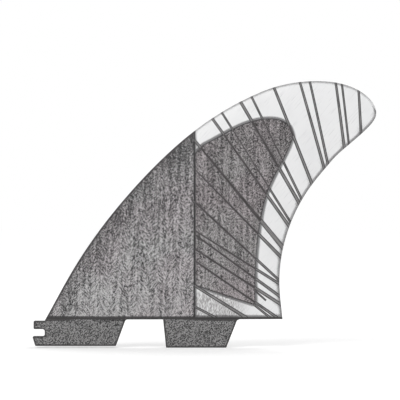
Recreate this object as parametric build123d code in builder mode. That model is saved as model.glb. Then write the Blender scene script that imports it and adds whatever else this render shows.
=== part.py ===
"""Side fin for a surfboard: a foiled blade on a base with two tabs.

The board's surface is the plane z = 0, the blade stands up from it and the tabs reach down into the
board. X runs aft along the chord, so the leading edge faces -X. The inner face of the blade, towards
the middle of the board, is flat and faces +Y; the outer face is domed and faces -Y. The origin is on
the base's underside, half way between the two tabs. Lengths are in millimetres.
"""

import os
from math import cos, radians, sin

from build123d import *

# Outline seen from the side
base_length = 111.0  # leading edge to trailing edge at the board
fin_depth = 111.6  # board to the top of the fin
tip_reach = 155.0  # leading edge at the board to the aft end of the tip
tip_drop = 15.0  # top of the fin down to the aft end of the tip
tip_length = 28.1  # highest point to the aft end of the tip, along the chord
tip_shoulder_drop = 15.5  # aft end of the tip down to where the trailing edge turns hollow
tip_shoulder_setback = 13.7  # and forward to the same point
leading_angle = 64.4  # leading edge at the board, above the chord
leading_base_pull = 53.3  # how far the leading edge holds that angle
leading_top_pull = 49.9  # and how far it runs level into the top
tip_top_pull = 20.7
tip_end_pull = 5.0
trailing_angle = 99.5  # trailing edge at the board, above the chord
trailing_base_pull = 34.2
shoulder_angle = 42.2  # trailing edge where it leaves the tip
shoulder_pull = 33.5
shoulder_tip_pull = 5.9

# Foil, from the board to the tip
base_thickness = 6.6
tip_thickness = 1.7
trailing_thickness = 0.9
nose_bluntness = 0.28  # radius of the leading edge as a share of the thickness
dome_places = (0.25, 0.60)  # along the chord, where the dome is pulled outward
dome_heights = (0.80, 1.40, 1.00)  # of the thickness, at the nose and at those places
section_count = 10
last_section = 0.993  # how far along the edges the last section stands

# Laminate of the aft half
joint_setback = 69.8  # leading edge at the board back to the joint between the two halves
base_band = 1.0  # height of the base above the board
strand_depth = 0.2

# Tabs, measured from the leading edge at the board
tab_thickness = 5.9
front_tab_end = 38.6  # back to the root of the front tab's aft edge
tab_gap = 16.5  # between the roots of the two tabs
rear_tab_length = 35.7
front_tab_depth = 12.4
rear_tab_depth = 13.2
front_tab_slope = 4.6  # how far the aft edge of the front tab leans forward at its foot
rear_tab_front_slope = 1.4
rear_tab_rear_slope = 5.2
root_flare = 1.0  # reach of the hollow where a tab's aft edge runs out under the blade
tab_corner = 0.5
fork_overhang = 5.4  # upper prong ahead of the leading edge
lower_prong_overhang = 6.0
lower_prong_slope = 1.4
prong_drop = 0.7  # the upper prong's top lies this far below the board
upper_prong_height = 3.8
notch_height = 3.4
notch_length = 5.2
prong_corner = 0.5
notch_corner = 1.1

# Dark panel let into the aft half: its edge keeps these margins from the edges of the blade
panel_head = 0.695  # where the panel meets the joint, as shares of the fin's depth
panel_foot = 0.1415
panel_top_margins = ((0.533, 7.5), (0.611, 9.4), (0.707, 13.1), (0.738, 16.3), (0.753, 24.8))
panel_rear_margins = ((0.608, 17.8), (0.487, 16.0), (0.38, 13.6), (0.273, 11.9), (0.068, 11.7))
panel_nose_radius = 1.2
panel_heel_radius = 1.2

# Strands: the edge where each starts and ends, the share along it, and its width there
heel_lap = 1.0  # how far a strand that starts at the panel's heel laps on to it
stub_setback = 7.75  # trailing edge at the board forward to the end of the short strand
strand_rows = (
    ("leading", 0.933, "trailing", 0.888, 0.6, 1.0),
    ("leading", 0.893, "trailing", 0.821, 0.6, 0.6),
    ("leading", 0.879, "trailing", 0.796, 0.6, 1.1),
    ("leading", 0.821, "trailing", 0.699, 0.6, 0.9),
    ("leading", 0.799, "trailing", 0.676, 0.6, 1.1),
    ("leading", 0.740, "trailing", 0.594, 0.8, 1.2),
    ("leading", 0.686, "trailing", 0.516, 0.6, 0.8),
    ("leading", 0.659, "trailing", 0.497, 1.0, 1.3),
    ("leading", 0.611, "trailing", 0.410, 0.6, 0.7),
    ("leading", 0.586, "trailing", 0.393, 0.8, 1.2),
    ("joint", 0.750, "trailing", 0.300, 0.7, 1.9),
    ("joint", 0.630, "trailing", 0.259, 0.6, 1.3),
    ("joint", 0.492, "trailing", 0.162, 1.1, 0.7),
    ("joint", 0.373, "trailing", 0.148, 0.7, 1.0),
    ("joint", 0.356, "trailing", 0.096, 0.8, 1.1),
    ("joint", 0.295, "trailing", 0.063, 0.8, 1.3),
    ("joint", 0.246, "base", 0.930, 0.9, 1.0),
    ("joint", 0.142, "base", 0.575, 0.7, 1.5),
    ("joint", 0.054, "base", 0.230, 0.7, 0.9),
    ("heel", 0.005, "base", 0.850, 0.6, 0.9),
    ("heel", 0.068, "stub", 0.078, 0.5, 0.5),
)

reach_past = base_thickness  # how far a cutting shape runs on past the blade
nose_x = -(front_tab_end + tab_gap / 2)
joint_x = nose_x + joint_setback
tail_x = nose_x + base_length
flat_y = tab_thickness / 2  # the flat face is flush with the tabs

nose_foot = Vector(nose_x, 0, 0)
tail_foot = Vector(tail_x, 0, 0)
tip = Vector(nose_x + tip_reach, 0, fin_depth - tip_drop)
top = Vector(tip.X - tip_length, 0, fin_depth)
shoulder = tip - Vector(tip_shoulder_setback, 0, tip_shoulder_drop)


def heading(angle, length):
    """Step of a given length at an angle above the chord."""
    return Vector(length * cos(radians(angle)), 0, length * sin(radians(angle)))


# Leading edge, from the board over the top to the tip
with BuildLine() as leading_line:
    Bezier(
        nose_foot,
        nose_foot + heading(leading_angle, leading_base_pull),
        top - heading(0, leading_top_pull),
        top,
    )
    Bezier(top, top + heading(0, tip_top_pull), tip + heading(90, tip_end_pull), tip)

# Trailing edge, hollow from the board to the shoulder, then round to the tip
with BuildLine() as trailing_line:
    Bezier(
        tail_foot,
        tail_foot + heading(trailing_angle, trailing_base_pull),
        shoulder - heading(shoulder_angle, shoulder_pull),
        shoulder,
    )
    Bezier(
        shoulder,
        shoulder + heading(shoulder_angle, shoulder_tip_pull),
        tip - heading(90, tip_end_pull),
        tip,
    )

leading = Wire(leading_line.line.edges())
trailing = Wire(trailing_line.line.edges())


def foil(inset):
    """Blade lofted through sections that fan out from the board to the tip."""
    outward = Vector(0, -1, 0)
    with BuildPart() as body:
        for step in range(section_count + 1):
            share = last_section * sin(radians(90 * step / section_count))
            nose = leading @ share
            along = (trailing @ share) - nose
            chord = along.length - 2 * inset
            along = along.normalized()
            full = base_thickness + (tip_thickness - base_thickness) * share
            thickness = full - 2 * inset
            edge = trailing_thickness - 2 * inset
            nose_radius = nose_bluntness * full - inset
            corner = nose + along * inset + Vector(0, flat_y - inset, 0)
            with BuildSketch(Plane(corner, x_dir=along, z_dir=along.cross(outward))):
                with BuildLine():
                    Bezier(
                        (0, nose_radius),
                        (0, dome_heights[0] * thickness),
                        (dome_places[0] * chord, dome_heights[1] * thickness),
                        (dome_places[1] * chord, dome_heights[2] * thickness),
                        (chord, edge),
                    )
                    Line((chord, edge), (chord, 0))
                    Line((chord, 0), (nose_radius, 0))
                    CenterArc((nose_radius, nose_radius), nose_radius, 180, 90)
                make_face()
        loft()
    return body.part


whole_blade = foil(0)
under_strands = foil(strand_depth)

# Halves of the blade, which meet at the joint and stand on the base
joint_plane = Plane.YZ.offset(joint_x)
band_plane = Plane.XY.offset(base_band)

with BuildPart() as front_blade:
    add(whole_blade)
    split(bisect_by=band_plane, keep=Keep.TOP)
    split(bisect_by=joint_plane, keep=Keep.BOTTOM)

with BuildPart() as aft_half:
    add(whole_blade)
    split(bisect_by=band_plane, keep=Keep.TOP)
    split(bisect_by=joint_plane, keep=Keep.TOP)


def flat_point(point):
    """Point of the side view, from a point of the model."""
    return Vector(point.X, point.Z)


def inside_leading(share, margin):
    """Point a margin inside the leading edge."""
    step = (leading % share).rotate(Axis.Y, 90)
    return flat_point(leading @ share + step * margin)


def inside_trailing(share, margin):
    """Point a margin inside the trailing edge."""
    step = (trailing % share).rotate(Axis.Y, -90)
    return flat_point(trailing @ share + step * margin)


# Panel outline: along under the leading edge to the nose, then down ahead of the trailing edge
panel_top_points = [inside_leading(*row) for row in panel_top_margins]
panel_rear_points = [inside_trailing(*row) for row in panel_rear_margins]
panel_heel = panel_rear_points[-1]
with BuildSketch(Plane.XZ) as panel_outline:
    with BuildLine():
        panel_top_edge = Spline(*panel_top_points)
        panel_rear_edge = Spline(panel_top_edge @ 1, *panel_rear_points)
        Polyline(
            panel_rear_edge @ 1,
            (joint_x, panel_foot * fin_depth),
            (joint_x, panel_head * fin_depth),
            panel_top_edge @ 0,
        )
    make_face()
    fillet(panel_outline.vertices().sort_by(Axis.Y)[0], panel_heel_radius)
    fillet(panel_outline.vertices().sort_by(Axis.X)[-1], panel_nose_radius)

panel_prism = extrude(panel_outline.sketch, amount=reach_past, both=True, mode=Mode.PRIVATE)


def place(edge_name, share):
    """Point of the side view a share of the way along one of the edges that strands run between."""
    places = {
        "leading": lambda: flat_point(leading @ share),
        "trailing": lambda: flat_point(trailing @ share),
        "joint": lambda: Vector(joint_x, share * fin_depth),
        "base": lambda: Vector(joint_x + share * (tail_x - joint_x), base_band),
        "heel": lambda: panel_heel + Vector(-heel_lap, share * fin_depth),
        "stub": lambda: Vector(tail_x - stub_setback, share * fin_depth),
    }
    return places[edge_name]()


def strip(start_edge, start_share, end_edge, end_share, start_width, end_width):
    """Tapered strip right through the blade, run on past the edges of the blade that it joins."""
    start = place(start_edge, start_share)
    end = place(end_edge, end_share)
    along = (end - start).normalized()
    across = Vector(-along.Y, along.X)
    far_start = start if start_edge == "heel" else start - along * reach_past
    far_end = end if end_edge == "stub" else end + along * reach_past
    with BuildPart() as prism:
        with BuildSketch(Plane.XZ):
            with BuildLine():
                Polyline(
                    far_start + across * start_width / 2,
                    far_end + across * end_width / 2,
                    far_end - across * end_width / 2,
                    far_start - across * start_width / 2,
                    close=True,
                )
            make_face()
        extrude(amount=reach_past, both=True)
    return prism.part


# The aft half is a skin as deep as the strands, over what lies below them
with BuildPart() as skin:
    add(aft_half.part)
    add(under_strands, mode=Mode.SUBTRACT)

strips = [strip(*row) for row in strand_rows]
strands = []
for number, ribbon in enumerate(strips, start=1):
    with BuildPart() as strand:
        add(skin.part)
        add(ribbon, mode=Mode.INTERSECT)
        if number > 1:
            add(strips[: number - 1], mode=Mode.SUBTRACT)
    strand.part.label = f"strand_{number:02d}"
    strands.append(strand.part)

with BuildPart() as backing:
    add(aft_half.part)
    add(under_strands, mode=Mode.INTERSECT)

with BuildPart() as grooved_half:
    add(skin.part)
    add(strips, mode=Mode.SUBTRACT)
    add(backing.part)

with BuildPart() as core_panel:
    add(grooved_half.part)
    add(panel_prism, mode=Mode.INTERSECT)

with BuildPart() as rear_blade:
    add(grooved_half.part)
    add(panel_prism, mode=Mode.SUBTRACT)

# Base: the lowest band of the foil, with both tabs in one piece with it
fork_top = -prong_drop
notch_top = fork_top - upper_prong_height
notch_foot = notch_top - notch_height
upper_front_x = nose_x - fork_overhang
lower_front_x = nose_x - lower_prong_overhang
notch_rear_x = upper_front_x + notch_length
rear_root_x = tab_gap / 2
front_root = Vector(-tab_gap / 2 - root_flare, 0)
front_foot = front_root - Vector(front_tab_slope, front_tab_depth)
rear_root = Vector(rear_root_x + rear_tab_length - root_flare, 0)
rear_foot = rear_root - Vector(rear_tab_rear_slope, rear_tab_depth)

front_tab_corners = (
    ((nose_x, 0), 0),
    ((nose_x, fork_top), 0),
    ((upper_front_x, fork_top), prong_corner),
    ((upper_front_x, notch_top), prong_corner),
    ((notch_rear_x, notch_top), notch_corner),
    ((notch_rear_x, notch_foot), notch_corner),
    ((lower_front_x, notch_foot), prong_corner),
    ((lower_front_x + lower_prong_slope, -front_tab_depth), tab_corner),
    (front_foot, tab_corner),
)
rear_tab_corners = (
    ((rear_root_x, 0), 0),
    ((rear_root_x + rear_tab_front_slope, -rear_tab_depth), tab_corner),
    (rear_foot, tab_corner),
)

with BuildPart() as base:
    add(whole_blade)
    split(bisect_by=band_plane, keep=Keep.BOTTOM)
    for corners, foot, root in (
        (front_tab_corners, front_foot, front_root),
        (rear_tab_corners, rear_foot, rear_root),
    ):
        flare_start = root + (foot - root).normalized() * root_flare
        flare_end = root + Vector(root_flare, 0)
        with BuildSketch(Plane.XZ):
            with BuildLine():
                rim = FilletPolyline(
                    *[point for point, radius in corners],
                    flare_start,
                    radius=[radius for point, radius in corners[1:]],
                )
                TangentArc(rim @ 1, flare_end, tangent=rim % 1)
                Line(flare_end, rim @ 0)
            make_face()
        extrude(amount=tab_thickness / 2, both=True)

base.part.label = "base"
front_blade.part.label = "front_blade"
rear_blade.part.label = "rear_blade"
core_panel.part.label = "core_panel"

os.makedirs("parts", exist_ok=True)
for piece in (base.part, front_blade.part, rear_blade.part, core_panel.part, *strands):
    export_step(piece, f"parts/{piece.label}.step")
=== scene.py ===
"""Looks of a surfboard side fin: dark woven and pale laminate, strands and moulded tabs."""

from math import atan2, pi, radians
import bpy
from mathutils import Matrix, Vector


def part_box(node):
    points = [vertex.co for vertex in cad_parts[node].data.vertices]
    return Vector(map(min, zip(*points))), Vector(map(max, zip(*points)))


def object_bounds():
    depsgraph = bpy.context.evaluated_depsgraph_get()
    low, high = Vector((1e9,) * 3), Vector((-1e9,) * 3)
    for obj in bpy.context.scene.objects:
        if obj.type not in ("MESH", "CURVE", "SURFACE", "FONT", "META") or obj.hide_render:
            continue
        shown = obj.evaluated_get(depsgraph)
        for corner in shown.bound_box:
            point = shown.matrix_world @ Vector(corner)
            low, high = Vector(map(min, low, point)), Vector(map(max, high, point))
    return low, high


bl_info = {
    "name": "Surfboard Fin Finishes",
    "version": (1, 0, 0),
    "blender": (4, 5, 0),
    "location": "View3D > Sidebar > Fin",
    "description": "Gives the pieces of a surfboard fin their laminates and sets a plain stage",
    "category": "Object",
}

from types import SimpleNamespace

import bpy
import numpy as np
from bpy.props import FloatProperty, FloatVectorProperty, PointerProperty
from mathutils import Vector
from mathutils.bvhtree import BVHTree

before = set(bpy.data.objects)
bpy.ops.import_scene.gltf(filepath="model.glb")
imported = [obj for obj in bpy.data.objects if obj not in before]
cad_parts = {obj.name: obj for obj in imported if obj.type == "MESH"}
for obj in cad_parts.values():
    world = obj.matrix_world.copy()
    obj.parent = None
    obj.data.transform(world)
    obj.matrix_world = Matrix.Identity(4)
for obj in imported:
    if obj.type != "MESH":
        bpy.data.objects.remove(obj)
cad_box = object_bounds()

MM = 0.001
STRAND_NODES = sorted(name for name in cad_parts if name.startswith("strand_"))
JOINT_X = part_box("front_blade")[1].x
FIN_LOW, FIN_HIGH = Vector(cad_box[0]), Vector(cad_box[1])
END_SHARE = 0.2  # share of a strand's length, at each end, where its width is measured
PANEL_STEPS = 120  # places along a strand where the panel is looked for
FULL_SHARE = 0.7  # share of the reach of a line, bed or low zone that has its full tone
DENSE_SHARE = 0.6  # the same for the length of the dense zone
DRIFT_BANDS = 6  # bands of the weave that drift sideways together
BEVEL_SAMPLES = 16

# Places of a Mix node's inputs: its factor, the two numbers and the two colours
FACTOR = 0
NUMBERS = (2, 3)
COLOURS = (6, 7)

# Agreement of the rounded and the true normal where an edge's painted shade line starts and is full
EDGE_START, EDGE_FULL = 0.985, 0.93

# Sideways share of the normal where the blade's painted shade, where its face turns, and the painted
# shade on its rounded leading edge start and are full
TURN_SHADE_START, TURN_SHADE_FULL = 0.998, 0.975
LEADING_SHADE_START, LEADING_SHADE_FULL = 0.93, 0.80

# Noise values where patches and fibres start to show and where they are full
CLOUD_START, CLOUD_FULL = 0.45, 0.75
WARMTH_START, WARMTH_FULL = 0.35, 0.65
STREAK_START, STREAK_FULL = 0.57, 0.74
DENSE_START, DENSE_FULL = 0.66, 0.36
FIBRE_START, FIBRE_FULL = 0.25, 0.60

# Edge widths inside a strand's side where its core starts and is full
CORE_START, CORE_FULL = 0.8, 1.3

# Lamps: name, place from the middle of the picture in metres, size in metres, power in watts
LAMPS = (
    ("key", (-0.5, -1.1, 0.9), 0.9, 14),
    ("fill", (0.9, -1.0, 0.3), 1.0, 6),
    ("rear", (0.2, 0.6, 0.7), 0.6, 5),
)


def colour_property(name, description, default):
    """Colour field of a settings group."""
    return FloatVectorProperty(
        name=name, description=description, default=default, subtype="COLOR", min=0, max=1
    )


def length_property(name, description, default):
    """Length field of a settings group, in metres."""
    return FloatProperty(
        name=name, description=description, default=default, unit="LENGTH", min=0, precision=5
    )


def angle_property(name, description, degrees):
    """Angle field of a settings group."""
    return FloatProperty(
        name=name, description=description, default=radians(degrees), subtype="ANGLE"
    )


def share_property(name, description, default):
    """Field of a settings group for a share from 0 to 1."""
    return FloatProperty(
        name=name, description=description, default=default, subtype="FACTOR", min=0, max=1
    )


class FinClothSettings(bpy.types.PropertyGroup):
    """Woven dark laminate of the front blade and the panel."""

    stroke_length: length_property("Stroke length", "Length of one visible fibre", 1.2 * MM)
    stroke_width: length_property("Stroke width", "Width of one visible fibre", 0.35 * MM)
    stroke_angle: angle_property("Stroke angle", "Slant of the fibres above the chord", 52)
    band_width: length_property("Band width", "Width of a band of the weave", 4.6 * MM)
    band_wander: FloatProperty(
        name="Band wander",
        description="How far the bands shift, as an angle of their wave",
        default=5,
        subtype="ANGLE",
    )
    band_blend: share_property("Band blend", "How softly one band passes into the next", 0.7)
    grain_size: length_property("Grain size", "Size of the grain among the fibres", 0.42 * MM)
    grain_share: share_property("Grain share", "Share of the grain in the weave's tone", 0.41)
    tone_low: share_property("Dark end", "Weave tone that comes out darkest", 0.38)
    tone_high: share_property("Light end", "Weave tone that comes out lightest", 0.63)
    ply_length: length_property("Ply length", "Length of the upright streaks", 20.0 * MM)
    ply_width: length_property("Ply width", "Width of the upright streaks", 1.5 * MM)
    ply_strength: FloatProperty(
        name="Ply strength",
        description="How strongly the upright streaks lighten and darken the cloth",
        default=1.05,
        min=0,
    )
    ply_middle: share_property("Ply middle", "Streak tone that leaves the cloth as it is", 0.505)
    blotch_size: length_property("Blotch size", "Size of the lighter patches", 18.0 * MM)
    blotch: share_property("Blotch", "How much lighter those patches are", 0.22)
    # Painted shade where the blade's face turns away sideways
    turn_shade: share_property("Border", "How much darker the blade is where its face turns", 0.18)
    darkening: share_property(
        "Darkening", "How much darker the front cloth is at the fin's top than at its foot", 0.52
    )
    panel_darkening: share_property("Panel darkening", "The same for the panel", 0.35)
    joint_shade: length_property("Joint shade", "Width of the shade aft of the joint", 2.4 * MM)
    joint_darkening: share_property("Joint darkening", "How dark that shade is", 0.35)
    dark: colour_property("Dark fibre", "Darkest tone of the cloth", (0.030, 0.029, 0.030))
    light: colour_property("Light fibre", "Lightest tone of the cloth", (0.56, 0.542, 0.548))
    panel_dark: colour_property("Dark panel fibre", "Darkest panel tone", (0.025, 0.023, 0.024))
    panel_light: colour_property("Light panel fibre", "Lightest panel tone", (0.45, 0.425, 0.43))
    # This tone is also the painted shade along the edges, where the face turns, aft of the joint and
    # beside the strands
    seam: colour_property("Seam", "Tone of the dark line at the joint", (0.030, 0.028, 0.030))
    seam_width: length_property("Seam width", "Width of that line on each side", 0.38 * MM)
    warm: colour_property("Warm tint", "Tint of the warmer patches", (1.0, 0.97, 0.98))
    cool: colour_property("Cool tint", "Tint of the cooler patches", (0.98, 1.0, 0.99))
    tint_size: length_property("Tint size", "Size of the tinted patches", 22.0 * MM)
    # Painted shade along the edges of the blade and the panel
    edge_width: length_property("Edge width", "Reach of the dark line along an edge", 1.7 * MM)
    edge_shade_strength: share_property("Edge strength", "How dark that line is", 0.85)
    # Painted shade on the rounded leading edge, which draws its dark outline
    outline: share_property("Outline", "How dark the rounded leading edge is", 0.8)


class FinGlassSettings(bpy.types.PropertyGroup):
    """Pale laminate of the aft half."""

    clear: colour_property("Pale laminate", "Tone of the pale laminate", (0.82, 0.82, 0.825))
    streak: colour_property("Streak", "Tone of the faint fibres in it", (0.60, 0.60, 0.61))
    streak_angle: angle_property("Streak angle", "Slant of those fibres above the chord", 50)
    streak_length: length_property("Streak length", "Length of those fibres", 9.0 * MM)
    streak_width: length_property("Streak width", "Width of those fibres", 0.4 * MM)
    streak_strength: share_property("Streak strength", "How clearly they show", 0.8)
    cloud_size: length_property("Cloud size", "Size of the greyer patches", 14.0 * MM)
    cloud: share_property("Cloud", "How grey those patches are", 0.18)
    dense: colour_property("Dense laminate", "Tone where the cloth is dense", (0.33, 0.32, 0.32))
    dense_height: length_property("Dense height", "Height of the dense zone", 15.0 * MM)
    dense_length: length_property("Dense length", "Length of the dense zone", 27.0 * MM)
    dense_angle: angle_property("Dense angle", "Slant of the fibres in it", 75)
    dense_fibre: length_property("Dense fibre", "Length of the fibres in it", 1.5 * MM)
    dense_width: length_property("Dense width", "Width of the fibres in it", 0.32 * MM)
    corner_length: length_property("Corner length", "Length of the grey cell at the joint", 3.4 * MM)
    corner_foot: length_property("Corner foot", "Height where that cell starts", 76.0 * MM)
    corner_reach: length_property(
        "Corner reach", "X and Z added up on the strand along that cell's upper side", 106.7 * MM
    )
    # Painted shade round the laminate's edges and along the strands' grooves
    rim_shade_width: length_property("Rim width", "Reach of the grey line round the laminate", 3.0 * MM)
    rim_shade_strength: share_property("Rim strength", "How dark that line is", 0.78)


class FinStrandSettings(bpy.types.PropertyGroup):
    """Dark strands in the pale laminate."""

    edge: colour_property("Strand edge", "Tone along both edges", (0.020, 0.019, 0.020))
    core: colour_property("Strand core", "Tone between the edges", (0.27, 0.263, 0.263))
    panel_core: colour_property("Core on panel", "The same, over the panel", (0.040, 0.036, 0.037))
    panel_edge: colour_property("Edge on panel", "Edge tone over the panel", (0.12, 0.112, 0.115))
    edge_width: length_property("Edge width", "Width of each dark edge", 0.16 * MM)
    # Dark resin line beside each strand, with painted shade of its groove
    bed_shade_width: length_property("Bed width", "Width of the dark resin beside a strand", 0.26 * MM)
    bed_shade_strength: share_property("Bed strength", "How dark that resin is", 0.95)
    fibre_length: length_property("Fibre length", "Length of the fibres in the core", 6.0 * MM)
    fibre_width: length_property("Fibre width", "Width of the fibres in the core", 0.16 * MM)


class FinTabSettings(bpy.types.PropertyGroup):
    """Moulded base with its tabs."""

    dark: colour_property("Dark grain", "Darkest tone of the moulding", (0.035, 0.035, 0.035))
    light: colour_property("Light grain", "Lightest tone of the moulding", (0.31, 0.305, 0.305))
    # Painted shade at the blade's foot, where it steps out over the tabs
    band: colour_property("Base band", "Tone of the band under the blade", (0.050, 0.048, 0.048))
    grain: length_property("Grain", "Size of the grain", 0.44 * MM)
    stroke_angle: angle_property("Stroke angle", "Slant of the marks in the grain", 40)
    stroke_length: length_property("Stroke length", "Length of those marks", 1.8 * MM)
    stroke_width: length_property("Stroke width", "Width of those marks", 0.45 * MM)
    stroke_share: share_property("Stroke share", "Share of the marks in the tone", 0.25)
    tone_low: share_property("Dark end", "Grain tone that comes out darkest", 0.435)
    tone_high: share_property("Light end", "Grain tone that comes out lightest", 0.57)
    # Painted shade along the moulding's edges
    rim_shade_width: length_property("Rim width", "Reach of the dark line along the edges", 2.4 * MM)
    rim_shade_strength: share_property("Rim strength", "How dark that line is", 0.95)
    shade_band_blur: length_property("Band blur", "Softness of the band's lower side", 0.1 * MM)


class FinStageSettings(bpy.types.PropertyGroup):
    """Floor, sky, lamps and camera."""

    floor_reach: length_property("Floor reach", "Half the side of the floor", 6.0)
    photo_span: length_property("Picture width", "Width that the picture covers", 187.2 * MM)
    view_x: length_property("View centre X", "Centre of the picture along the chord", 25.5 * MM)
    view_z: length_property("View centre Z", "Centre of the picture above the board", 55.8 * MM)
    camera_distance: length_property("Camera distance", "Camera to the fin", 1.6)
    floor_colour: colour_property("Floor", "Tone of the floor", (0.88, 0.88, 0.88))
    light_level: FloatProperty(
        name="Light level",
        description="Scale of the lamps and the world",
        default=0.7,
        min=0,
    )
    sky_light: share_property("Sky light", "Light of the sky on the fin, at full scale", 0.55)
    near_glow: share_property(
        "Near glow", "White that the camera sees on the floor where the lamps reach", 0.29
    )
    far_glow: share_property(
        "Far glow", "White that the camera sees on the floor past the lamps", 0.66
    )
    glow_start: length_property("Glow start", "Distance at which the glow begins to rise", 0.35)
    glow_end: length_property("Glow end", "Distance at which it has its far strength", 1.4)


SETTINGS = {
    "fin_cloth": FinClothSettings,
    "fin_glass": FinGlassSettings,
    "fin_strand": FinStrandSettings,
    "fin_tab": FinTabSettings,
    "fin_stage": FinStageSettings,
}


def add_node(tree, kind, inputs=None, **settings):
    """New shader node, with its settings and with inputs given as values or sockets."""
    node = tree.nodes.new(kind)
    for name, value in settings.items():
        setattr(node, name, value)
    for socket, value in (inputs or {}).items():
        if isinstance(value, bpy.types.NodeSocket):
            tree.links.new(value, node.inputs[socket])
        else:
            node.inputs[socket].default_value = value
    return node


def maths(tree, operation, *values, clamp=False):
    """Result of a Math node."""
    node = add_node(tree, "ShaderNodeMath", dict(enumerate(values)), operation=operation)
    node.use_clamp = clamp
    return node.outputs[0]


def ramp(tree, value, low, high):
    """Smooth step from 0 at low to 1 at high."""
    node = add_node(
        tree,
        "ShaderNodeMapRange",
        {"Value": value, "From Min": low, "From Max": high, "To Min": 0.0, "To Max": 1.0},
        interpolation_type="SMOOTHSTEP",
    )
    return node.outputs["Result"]


def mix_value(tree, factor, first, second):
    """Blend of two numbers, each a socket or a value."""
    inputs = {FACTOR: factor, NUMBERS[0]: first, NUMBERS[1]: second}
    return add_node(tree, "ShaderNodeMix", inputs, data_type="FLOAT").outputs[0]


def mix_colour(tree, factor, first, second, blend="MIX"):
    """Blend of two colours, each a socket or a tuple."""
    inputs = {FACTOR: factor}
    for socket, colour in zip(COLOURS, (first, second)):
        inputs[socket] = (*colour, 1) if isinstance(colour, tuple) else colour
    node = add_node(tree, "ShaderNodeMix", inputs, data_type="RGBA", blend_type=blend)
    return node.outputs[2]


def new_material(name):
    """Material with an empty tree, its surface shader and the point being shaded."""
    material = bpy.data.materials.new(name)
    material.use_nodes = True
    tree = material.node_tree
    tree.nodes.clear()
    shader = tree.nodes.new("ShaderNodeBsdfPrincipled")
    output = tree.nodes.new("ShaderNodeOutputMaterial")
    tree.links.new(shader.outputs[0], output.inputs[0])
    point = tree.nodes.new("ShaderNodeTexCoord").outputs["Object"]
    return material, tree, shader, point


def split_point(tree, point):
    """X, Y and Z of a point."""
    return add_node(tree, "ShaderNodeSeparateXYZ", {0: point}).outputs


def strokes(tree, point, angle, length, width, offset=0.0, detail=2.0, depth_share=0.2):
    """Noise drawn out along one slant, like short fibres, and more so through the thickness."""
    turned = add_node(
        tree,
        "ShaderNodeMapping",
        {"Vector": point, "Rotation": (0, angle, 0), "Location": (offset, 0, offset)},
    ).outputs[0]
    scaled = add_node(
        tree,
        "ShaderNodeVectorMath",
        {0: turned, 1: (1 / length, depth_share / length, 1 / width)},
        operation="MULTIPLY",
    ).outputs[0]
    noise = add_node(tree, "ShaderNodeTexNoise", {"Vector": scaled, "Scale": 1.0, "Detail": detail})
    return noise.outputs["Fac"]


def grain(tree, point, size, detail=3.0):
    """Even noise of a given size."""
    noise = add_node(
        tree, "ShaderNodeTexNoise", {"Vector": point, "Scale": 1 / size, "Detail": detail}
    )
    return noise.outputs["Fac"]


def set_surface(tree, shader, colour, roughness, specular):
    """Colour and gloss of a surface."""
    tree.links.new(colour, shader.inputs["Base Color"])
    shader.inputs["Roughness"].default_value = roughness
    shader.inputs["Specular IOR Level"].default_value = specular


def add_bump(tree, shader, height, strength, distance):
    """Small relief from a height."""
    bump = add_node(
        tree, "ShaderNodeBump", {"Height": height, "Strength": strength, "Distance": distance}
    )
    tree.links.new(bump.outputs[0], shader.inputs["Normal"])


def edge_shade_mask(tree, width):
    """1 along the edges of a solid, fading to 0 at a given width from them; it paints shade along
    the edges.
    """
    bevel = add_node(tree, "ShaderNodeBevel", {"Radius": width}, samples=BEVEL_SAMPLES)
    flat = add_node(tree, "ShaderNodeNewGeometry").outputs["True Normal"]
    agreement = add_node(
        tree, "ShaderNodeVectorMath", {0: bevel.outputs[0], 1: flat}, operation="DOT_PRODUCT"
    ).outputs["Value"]
    return ramp(tree, agreement, EDGE_START, EDGE_FULL)


def woven(tree, point, cloth):
    """Tone, 0 to 1, of a cloth whose fibres slant one way and the other in upright bands."""
    x = split_point(tree, point)[0]
    drift = grain(tree, point, DRIFT_BANDS * cloth.band_width, detail=1.0)
    wander = maths(tree, "MULTIPLY", drift, cloth.band_wander)
    phase = maths(tree, "MULTIPLY_ADD", x, pi / cloth.band_width, wander)
    band = ramp(tree, maths(tree, "SINE", phase), -cloth.band_blend, cloth.band_blend)
    size = (cloth.stroke_length, cloth.stroke_width)
    up = strokes(tree, point, cloth.stroke_angle, *size)
    down = strokes(tree, point, -cloth.stroke_angle, *size, offset=0.31)
    blend = mix_value(tree, band, up, down)
    fine = grain(tree, point, cloth.grain_size, detail=2.0)
    tone = mix_value(tree, cloth.grain_share, blend, fine)
    return ramp(tree, tone, cloth.tone_low, cloth.tone_high)


def joint_line(tree, x, width):
    """1 at the joint, fading to 0 at a given width from it."""
    distance = maths(tree, "ABSOLUTE", maths(tree, "SUBTRACT", x, JOINT_X))
    return ramp(tree, distance, width, FULL_SHARE * width)


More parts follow.
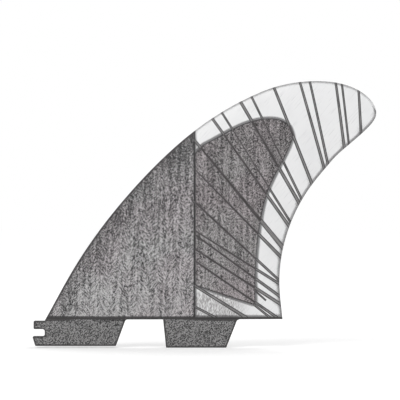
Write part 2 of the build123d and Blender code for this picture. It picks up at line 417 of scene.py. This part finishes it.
def cloth_material(name, cloth, dark, light, darkening, joint_darkening=0.0):
    """Satin laminate over a dark woven cloth, darker towards the top, with painted shade along its
    edges and where its face turns.
    """
    material, tree, shader, point = new_material(name)
    x, _, z = split_point(tree, point)
    tone = woven(tree, point, cloth)
    plies = strokes(
        tree, point, radians(90), cloth.ply_length, cloth.ply_width, offset=0.8, detail=1.0
    )
    plies = maths(tree, "SUBTRACT", plies, cloth.ply_middle)
    tone = maths(tree, "MULTIPLY_ADD", plies, cloth.ply_strength, tone)
    normal = add_node(tree, "ShaderNodeNewGeometry").outputs["Normal"]
    facing = maths(tree, "ABSOLUTE", split_point(tree, normal)[1])
    # Painted shade where the face turns sideways
    turn_shade = ramp(tree, facing, TURN_SHADE_START, TURN_SHADE_FULL)
    tone = maths(tree, "MULTIPLY_ADD", turn_shade, -cloth.turn_shade, tone)
    tone = maths(tree, "MULTIPLY_ADD", z, -darkening / (FIN_HIGH.z - FIN_LOW.z), tone)
    blotch = grain(tree, point, cloth.blotch_size, detail=2.0)
    tone = maths(tree, "MULTIPLY_ADD", blotch, cloth.blotch, tone, clamp=True)
    colour = mix_colour(tree, tone, dark, light)
    patches = grain(tree, point, cloth.tint_size, detail=1.0)
    warmth = ramp(tree, patches, WARMTH_START, WARMTH_FULL)
    tint = mix_colour(tree, warmth, tuple(cloth.cool), tuple(cloth.warm))
    colour = mix_colour(tree, 1.0, colour, tint, "MULTIPLY")
    shade = ramp(tree, x, JOINT_X + cloth.joint_shade, JOINT_X)
    shade = maths(tree, "MULTIPLY", shade, joint_darkening)
    colour = mix_colour(tree, shade, colour, tuple(cloth.seam))
    # Painted shade along the edges, joined by the dark joint line and the painted leading-edge shade
    edge = maths(tree, "MULTIPLY", edge_shade_mask(tree, cloth.edge_width), cloth.edge_shade_strength)
    edge = maths(tree, "MAXIMUM", edge, joint_line(tree, x, cloth.seam_width))
    # Painted shade on the rounded leading edge
    outline = ramp(tree, facing, LEADING_SHADE_START, LEADING_SHADE_FULL)
    edge = maths(tree, "MAXIMUM", edge, maths(tree, "MULTIPLY", outline, cloth.outline))
    colour = mix_colour(tree, edge, colour, tuple(cloth.seam))
    set_surface(tree, shader, colour, roughness=0.5, specular=0.25)
    add_bump(tree, shader, tone, strength=0.25, distance=0.05 * MM)
    return material


def dense_foot(tree, x, z, glass):
    """1 low down by the joint, where the pale laminate is dense."""
    low = ramp(tree, z, glass.dense_height, FULL_SHARE * glass.dense_height)
    fore = ramp(tree, x, JOINT_X + glass.dense_length, JOINT_X + DENSE_SHARE * glass.dense_length)
    return maths(tree, "MULTIPLY", low, fore)


def joint_corner(tree, x, z, glass):
    """1 in the small cell between the joint's top and the strand above it."""
    blur = 0.2 * MM
    end = JOINT_X + glass.corner_length
    near_joint = ramp(tree, x, end, end - blur)
    reach = maths(tree, "ADD", x, z)
    under_strand = ramp(tree, reach, glass.corner_reach, glass.corner_reach - 2 * blur)
    above_foot = ramp(tree, z, glass.corner_foot, glass.corner_foot + 5 * blur)
    corner = maths(tree, "MULTIPLY", near_joint, under_strand)
    return maths(tree, "MULTIPLY", corner, above_foot)


def glass_material(name, glass, cloth, strand):
    """Pale laminate with faint slanting fibres, denser low down by the joint."""
    material, tree, shader, point = new_material(name)
    x, _, z = split_point(tree, point)
    streaks = strokes(
        tree, point, glass.streak_angle, glass.streak_length, glass.streak_width, offset=0.17
    )
    streaks = ramp(tree, streaks, STREAK_START, STREAK_FULL)
    streaks = maths(tree, "MULTIPLY", streaks, glass.streak_strength)
    colour = mix_colour(tree, streaks, tuple(glass.clear), tuple(glass.streak))
    cloud = ramp(tree, grain(tree, point, glass.cloud_size, detail=2.0), CLOUD_START, CLOUD_FULL)
    cloud = maths(tree, "MULTIPLY", cloud, glass.cloud)
    colour = mix_colour(tree, cloud, colour, tuple(glass.streak))
    zone = maths(tree, "MAXIMUM", joint_corner(tree, x, z, glass), dense_foot(tree, x, z, glass))
    fibres = strokes(
        tree, point, glass.dense_angle, glass.dense_fibre, glass.dense_width, offset=0.4
    )
    dense = maths(tree, "MULTIPLY", zone, ramp(tree, fibres, DENSE_START, DENSE_FULL))
    colour = mix_colour(tree, dense, colour, tuple(glass.dense))
    # Painted shade along the laminate's edges, with the dark joint line and the strands' resin lines
    edge_shade_and_lines = maths(tree, "MULTIPLY", edge_shade_mask(tree, glass.rim_shade_width), glass.rim_shade_strength)
    edge_shade_and_lines = maths(tree, "MAXIMUM", edge_shade_and_lines, joint_line(tree, x, cloth.seam_width))
    # Dark resin line beside each strand, with painted shade of its groove
    bed_shade = maths(tree, "MULTIPLY", strand_bed_shade(tree, point, strand.bed_shade_width), strand.bed_shade_strength)
    edge_shade_and_lines = maths(tree, "MAXIMUM", edge_shade_and_lines, bed_shade)
    colour = mix_colour(tree, edge_shade_and_lines, colour, tuple(cloth.seam))
    set_surface(tree, shader, colour, roughness=0.38, specular=0.4)
    add_bump(tree, shader, streaks, strength=0.15, distance=0.04 * MM)
    return material


def strand_line(node_name):
    """Middle line of a strand in the side view, with its ends, their offsets and half widths."""
    corners = np.array([(v.co.x, v.co.z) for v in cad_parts[node_name].data.vertices])
    middle = corners.mean(axis=0)
    along, across = np.linalg.svd(corners - middle, full_matrices=False)[2]
    reach = (corners - middle) @ along
    side = (corners - middle) @ across
    near_start = side[reach < reach.min() + END_SHARE * np.ptp(reach)]
    near_end = side[reach > reach.max() - END_SHARE * np.ptp(reach)]
    halves = (np.ptp(near_start) / 2, np.ptp(near_end) / 2)
    return SimpleNamespace(
        middle=middle,
        along=along,
        across=across,
        ends=(float(reach.min()), float(reach.max())),
        offsets=(near_start.min() + halves[0], near_end.min() + halves[1]),
        halves=halves,
    )


def strand_place(tree, point, line):
    """Place of a point along a strand, and how far inside the strand's sides it lies."""

    def measure(direction):
        """Distance from the middle of the strand, along a direction of the side view."""
        moved = add_node(
            tree,
            "ShaderNodeVectorMath",
            {0: point, 1: (line.middle[0], 0, line.middle[1])},
            operation="SUBTRACT",
        ).outputs[0]
        return add_node(
            tree,
            "ShaderNodeVectorMath",
            {0: moved, 1: (direction[0], 0, direction[1])},
            operation="DOT_PRODUCT",
        ).outputs["Value"]

    place = measure(line.along)

    def between(values):
        """Value that runs from the first to the second along the strand."""
        limits = {"From Min": line.ends[0], "From Max": line.ends[1]}
        limits |= {"Value": place, "To Min": float(values[0]), "To Max": float(values[1])}
        return add_node(tree, "ShaderNodeMapRange", limits).outputs["Result"]

    offset = maths(tree, "SUBTRACT", measure(line.across), between(line.offsets))
    inset = maths(tree, "SUBTRACT", between(line.halves), maths(tree, "ABSOLUTE", offset))
    return place, inset


def strand_bed_shade(tree, point, width):
    """1 in the dark resin line beside the strands, with painted shade of their grooves, fading to 0
    at a given width from them.
    """
    bed_shade = 0.0
    for node_name in STRAND_NODES:
        line = strand_line(node_name)
        place, inset = strand_place(tree, point, line)
        beside = ramp(tree, inset, -width, -FULL_SHARE * width)
        after = maths(tree, "GREATER_THAN", place, line.ends[0])
        before = maths(tree, "LESS_THAN", place, line.ends[1])
        beside = maths(tree, "MULTIPLY", beside, maths(tree, "MULTIPLY", after, before))
        bed_shade = maths(tree, "MAXIMUM", bed_shade, beside)
    return bed_shade


def stretch_over_panel(line):
    """First and last place along a strand that have the panel under them, or None."""
    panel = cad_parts["core_panel"].data
    surface = BVHTree.FromPolygons(
        [vertex.co for vertex in panel.vertices], [face.vertices for face in panel.polygons]
    )
    over = []
    for step in np.linspace(*line.ends, PANEL_STEPS):
        place = line.middle + line.along * step
        outside = Vector((place[0], 2 * FIN_LOW.y, place[1]))
        if surface.ray_cast(outside, Vector((0, 1, 0)))[0]:
            over.append(float(step))
    return (over[0], over[-1]) if over else None


def strand_material(name, strand, node_name):
    """Strand with dark edges and a fibrous core, plainer and darker where it lies on the panel."""
    line = strand_line(node_name)
    material, tree, shader, point = new_material(name)
    place, inset = strand_place(tree, point, line)
    core = ramp(tree, inset, CORE_START * strand.edge_width, CORE_FULL * strand.edge_width)
    slant = atan2(line.along[1], line.along[0])
    fibres = strokes(tree, point, slant, strand.fibre_length, strand.fibre_width, offset=0.2)
    core = maths(tree, "MULTIPLY", core, ramp(tree, fibres, FIBRE_START, FIBRE_FULL))
    core_tone, edge_tone = tuple(strand.core), tuple(strand.edge)
    stretch = stretch_over_panel(line)
    if stretch:
        blur = 0.3 * MM
        after = ramp(tree, place, stretch[0] - blur, stretch[0])
        before = ramp(tree, place, stretch[1] + blur, stretch[1])
        on_panel = maths(tree, "MULTIPLY", after, before)
        core_tone = mix_colour(tree, on_panel, core_tone, tuple(strand.panel_core))
        edge_tone = mix_colour(tree, on_panel, edge_tone, tuple(strand.panel_edge))
    colour = mix_colour(tree, core, edge_tone, core_tone)
    set_surface(tree, shader, colour, roughness=0.5, specular=0.2)
    add_bump(tree, shader, fibres, strength=0.2, distance=0.03 * MM)
    return material


def tab_material(name, tab):
    """Dark moulding with a fine even grain, a darker band under the blade that paints shade at the
    blade's foot, and painted shade along its edges.
    """
    material, tree, shader, point = new_material(name)
    z = split_point(tree, point)["Z"]
    fine = grain(tree, point, tab.grain)
    marks = strokes(
        tree, point, tab.stroke_angle, tab.stroke_length, tab.stroke_width, offset=0.6
    )
    tone = mix_value(tree, tab.stroke_share, fine, marks)
    shade = ramp(tree, tone, tab.tone_low, tab.tone_high)
    colour = mix_colour(tree, shade, tuple(tab.dark), tuple(tab.light))
    # Painted shade at the blade's foot, in the band above the board
    band = ramp(tree, z, -tab.shade_band_blur, 2 * tab.shade_band_blur)
    # Painted shade along the moulding's edges
    edge_shade_and_lines = maths(tree, "MULTIPLY", edge_shade_mask(tree, tab.rim_shade_width), tab.rim_shade_strength)
    colour = mix_colour(tree, maths(tree, "MAXIMUM", band, edge_shade_and_lines), colour, tuple(tab.band))
    set_surface(tree, shader, colour, roughness=0.6, specular=0.25)
    add_bump(tree, shader, tone, strength=0.25, distance=0.06 * MM)
    return material


def directly_seen(tree):
    """1 for what the camera sees, straight or by reflection, and 0 for light on the fin."""
    rays = tree.nodes.new("ShaderNodeLightPath").outputs
    seen = maths(tree, "MAXIMUM", rays["Is Camera Ray"], rays["Is Glossy Ray"])
    return maths(tree, "MAXIMUM", seen, rays["Is Transmission Ray"])


def floor_material(name, stage):
    """Matt floor, lifted to white only where the camera looks at it."""
    material, tree, shader, point = new_material(name)
    shader.inputs["Base Color"].default_value = (*stage.floor_colour, 1)
    shader.inputs["Roughness"].default_value = 0.9
    shader.inputs["Specular IOR Level"].default_value = 0.0
    shader.inputs["Emission Color"].default_value = (1, 1, 1, 1)
    distance = add_node(tree, "ShaderNodeVectorMath", {0: point}, operation="LENGTH")
    past_lamps = ramp(tree, distance.outputs["Value"], stage.glow_start, stage.glow_end)
    glow = mix_value(tree, past_lamps, stage.near_glow, stage.far_glow)
    glow = maths(tree, "MULTIPLY", directly_seen(tree), glow)
    tree.links.new(glow, shader.inputs["Emission Strength"])
    return material


def dress(node_name, material):
    """Give a solid its finish."""
    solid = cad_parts[node_name]
    solid.data.materials.clear()
    solid.data.materials.append(material)


class FIN_OT_front_blade(bpy.types.Operator):
    """Dress the front blade in dark woven laminate"""

    bl_idname = "fin.front_blade"
    bl_label = "Front Blade"

    def execute(self, context):
        cloth = context.scene.fin_cloth
        material = cloth_material(
            "front_cloth", cloth, tuple(cloth.dark), tuple(cloth.light), cloth.darkening
        )
        dress("front_blade", material)
        return {"FINISHED"}


class FIN_OT_core_panel(bpy.types.Operator):
    """Dress the panel in the warmer, darker laminate"""

    bl_idname = "fin.core_panel"
    bl_label = "Core Panel"

    def execute(self, context):
        cloth = context.scene.fin_cloth
        material = cloth_material(
            "panel_cloth",
            cloth,
            tuple(cloth.panel_dark),
            tuple(cloth.panel_light),
            cloth.panel_darkening,
            cloth.joint_darkening,
        )
        dress("core_panel", material)
        return {"FINISHED"}


class FIN_OT_rear_blade(bpy.types.Operator):
    """Dress the rear blade in pale laminate"""

    bl_idname = "fin.rear_blade"
    bl_label = "Rear Blade"

    def execute(self, context):
        scene = context.scene
        material = glass_material(
            "pale_laminate", scene.fin_glass, scene.fin_cloth, scene.fin_strand
        )
        dress("rear_blade", material)
        return {"FINISHED"}


class FIN_OT_strands(bpy.types.Operator):
    """Dress the strands, each along its own line"""

    bl_idname = "fin.strands"
    bl_label = "Strands"

    def execute(self, context):
        for name in STRAND_NODES:
            dress(name, strand_material(f"{name}_fibre", context.scene.fin_strand, name))
        return {"FINISHED"}


class FIN_OT_base(bpy.types.Operator):
    """Dress the base and its tabs in dark moulding"""

    bl_idname = "fin.base"
    bl_label = "Base and Tabs"

    def execute(self, context):
        dress("base", tab_material("tab_moulding", context.scene.fin_tab))
        return {"FINISHED"}


def lay_floor(reach, height, material):
    """Square floor under the fin."""
    mesh = bpy.data.meshes.new("floor")
    sides = ((-reach, -reach), (reach, -reach), (reach, reach), (-reach, reach))
    mesh.from_pydata([(x, y, height) for x, y in sides], [], [(0, 1, 2, 3)])
    mesh.materials.append(material)
    floor = bpy.data.objects.new("floor", mesh)
    bpy.context.scene.collection.objects.link(floor)


def aim(thing, place, target):
    """Put a lamp or camera at a place and turn it to a target."""
    thing.location = place
    thing.rotation_euler = (target - place).to_track_quat("-Z", "Y").to_euler()
    bpy.context.scene.collection.objects.link(thing)


def area_lamp(name, place, target, size, power):
    """Soft square lamp."""
    light = bpy.data.lights.new(name, "AREA")
    light.size = size
    light.energy = power
    aim(bpy.data.objects.new(name, light), place, target)


class FIN_OT_stage(bpy.types.Operator):
    """Set the floor, sky, lamps and camera"""

    bl_idname = "fin.stage"
    bl_label = "Stage"

    def execute(self, context):
        scene = context.scene
        stage = scene.fin_stage
        target = Vector((stage.view_x, 0, stage.view_z))

        camera = bpy.data.cameras.new("camera")
        camera.lens = camera.sensor_width * stage.camera_distance / stage.photo_span
        viewer = bpy.data.objects.new("camera", camera)
        aim(viewer, target - Vector((0, stage.camera_distance, 0)), target)
        scene.camera = viewer

        lay_floor(stage.floor_reach, FIN_LOW.z, floor_material("stage_floor", stage))

        for name, place, size, power in LAMPS:
            area_lamp(name, target + Vector(place), target, size, power * stage.light_level)

        world = bpy.data.worlds.new("world")
        world.use_nodes = True
        tree = world.node_tree
        sky = tree.nodes["Background"]
        sky.inputs["Color"].default_value = (1, 1, 1, 1)
        on_fin = stage.sky_light * stage.light_level
        strength = mix_value(tree, directly_seen(tree), on_fin, 1.0)
        tree.links.new(strength, sky.inputs["Strength"])
        scene.world = world
        scene.view_settings.view_transform = "Standard"
        return {"FINISHED"}


OPERATORS = (
    FIN_OT_front_blade,
    FIN_OT_core_panel,
    FIN_OT_rear_blade,
    FIN_OT_strands,
    FIN_OT_base,
    FIN_OT_stage,
)


class FIN_PT_finishes(bpy.types.Panel):
    """Finishes of the fin"""

    bl_idname = "FIN_PT_finishes"
    bl_label = "Surfboard Fin"
    bl_space_type = "VIEW_3D"
    bl_region_type = "UI"
    bl_category = "Fin"

    def draw(self, context):
        layout = self.layout
        for name, group in SETTINGS.items():
            box = layout.box()
            settings = getattr(context.scene, name)
            for field in group.__annotations__:
                box.prop(settings, field)
        for operator in OPERATORS:
            layout.operator(operator.bl_idname)


def register():
    for name, group in SETTINGS.items():
        bpy.utils.register_class(group)
        setattr(bpy.types.Scene, name, PointerProperty(type=group))
    for item in (*OPERATORS, FIN_PT_finishes):
        bpy.utils.register_class(item)


def unregister():
    for item in (FIN_PT_finishes, *reversed(OPERATORS)):
        bpy.utils.unregister_class(item)
    for name, group in reversed(SETTINGS.items()):
        delattr(bpy.types.Scene, name)
        bpy.utils.unregister_class(group)


def main():
    """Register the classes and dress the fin."""
    register()
    bpy.ops.fin.stage()
    bpy.ops.fin.front_blade()
    bpy.ops.fin.core_panel()
    bpy.ops.fin.rear_blade()
    bpy.ops.fin.strands()
    bpy.ops.fin.base()


if __name__ == "__main__":
    main()
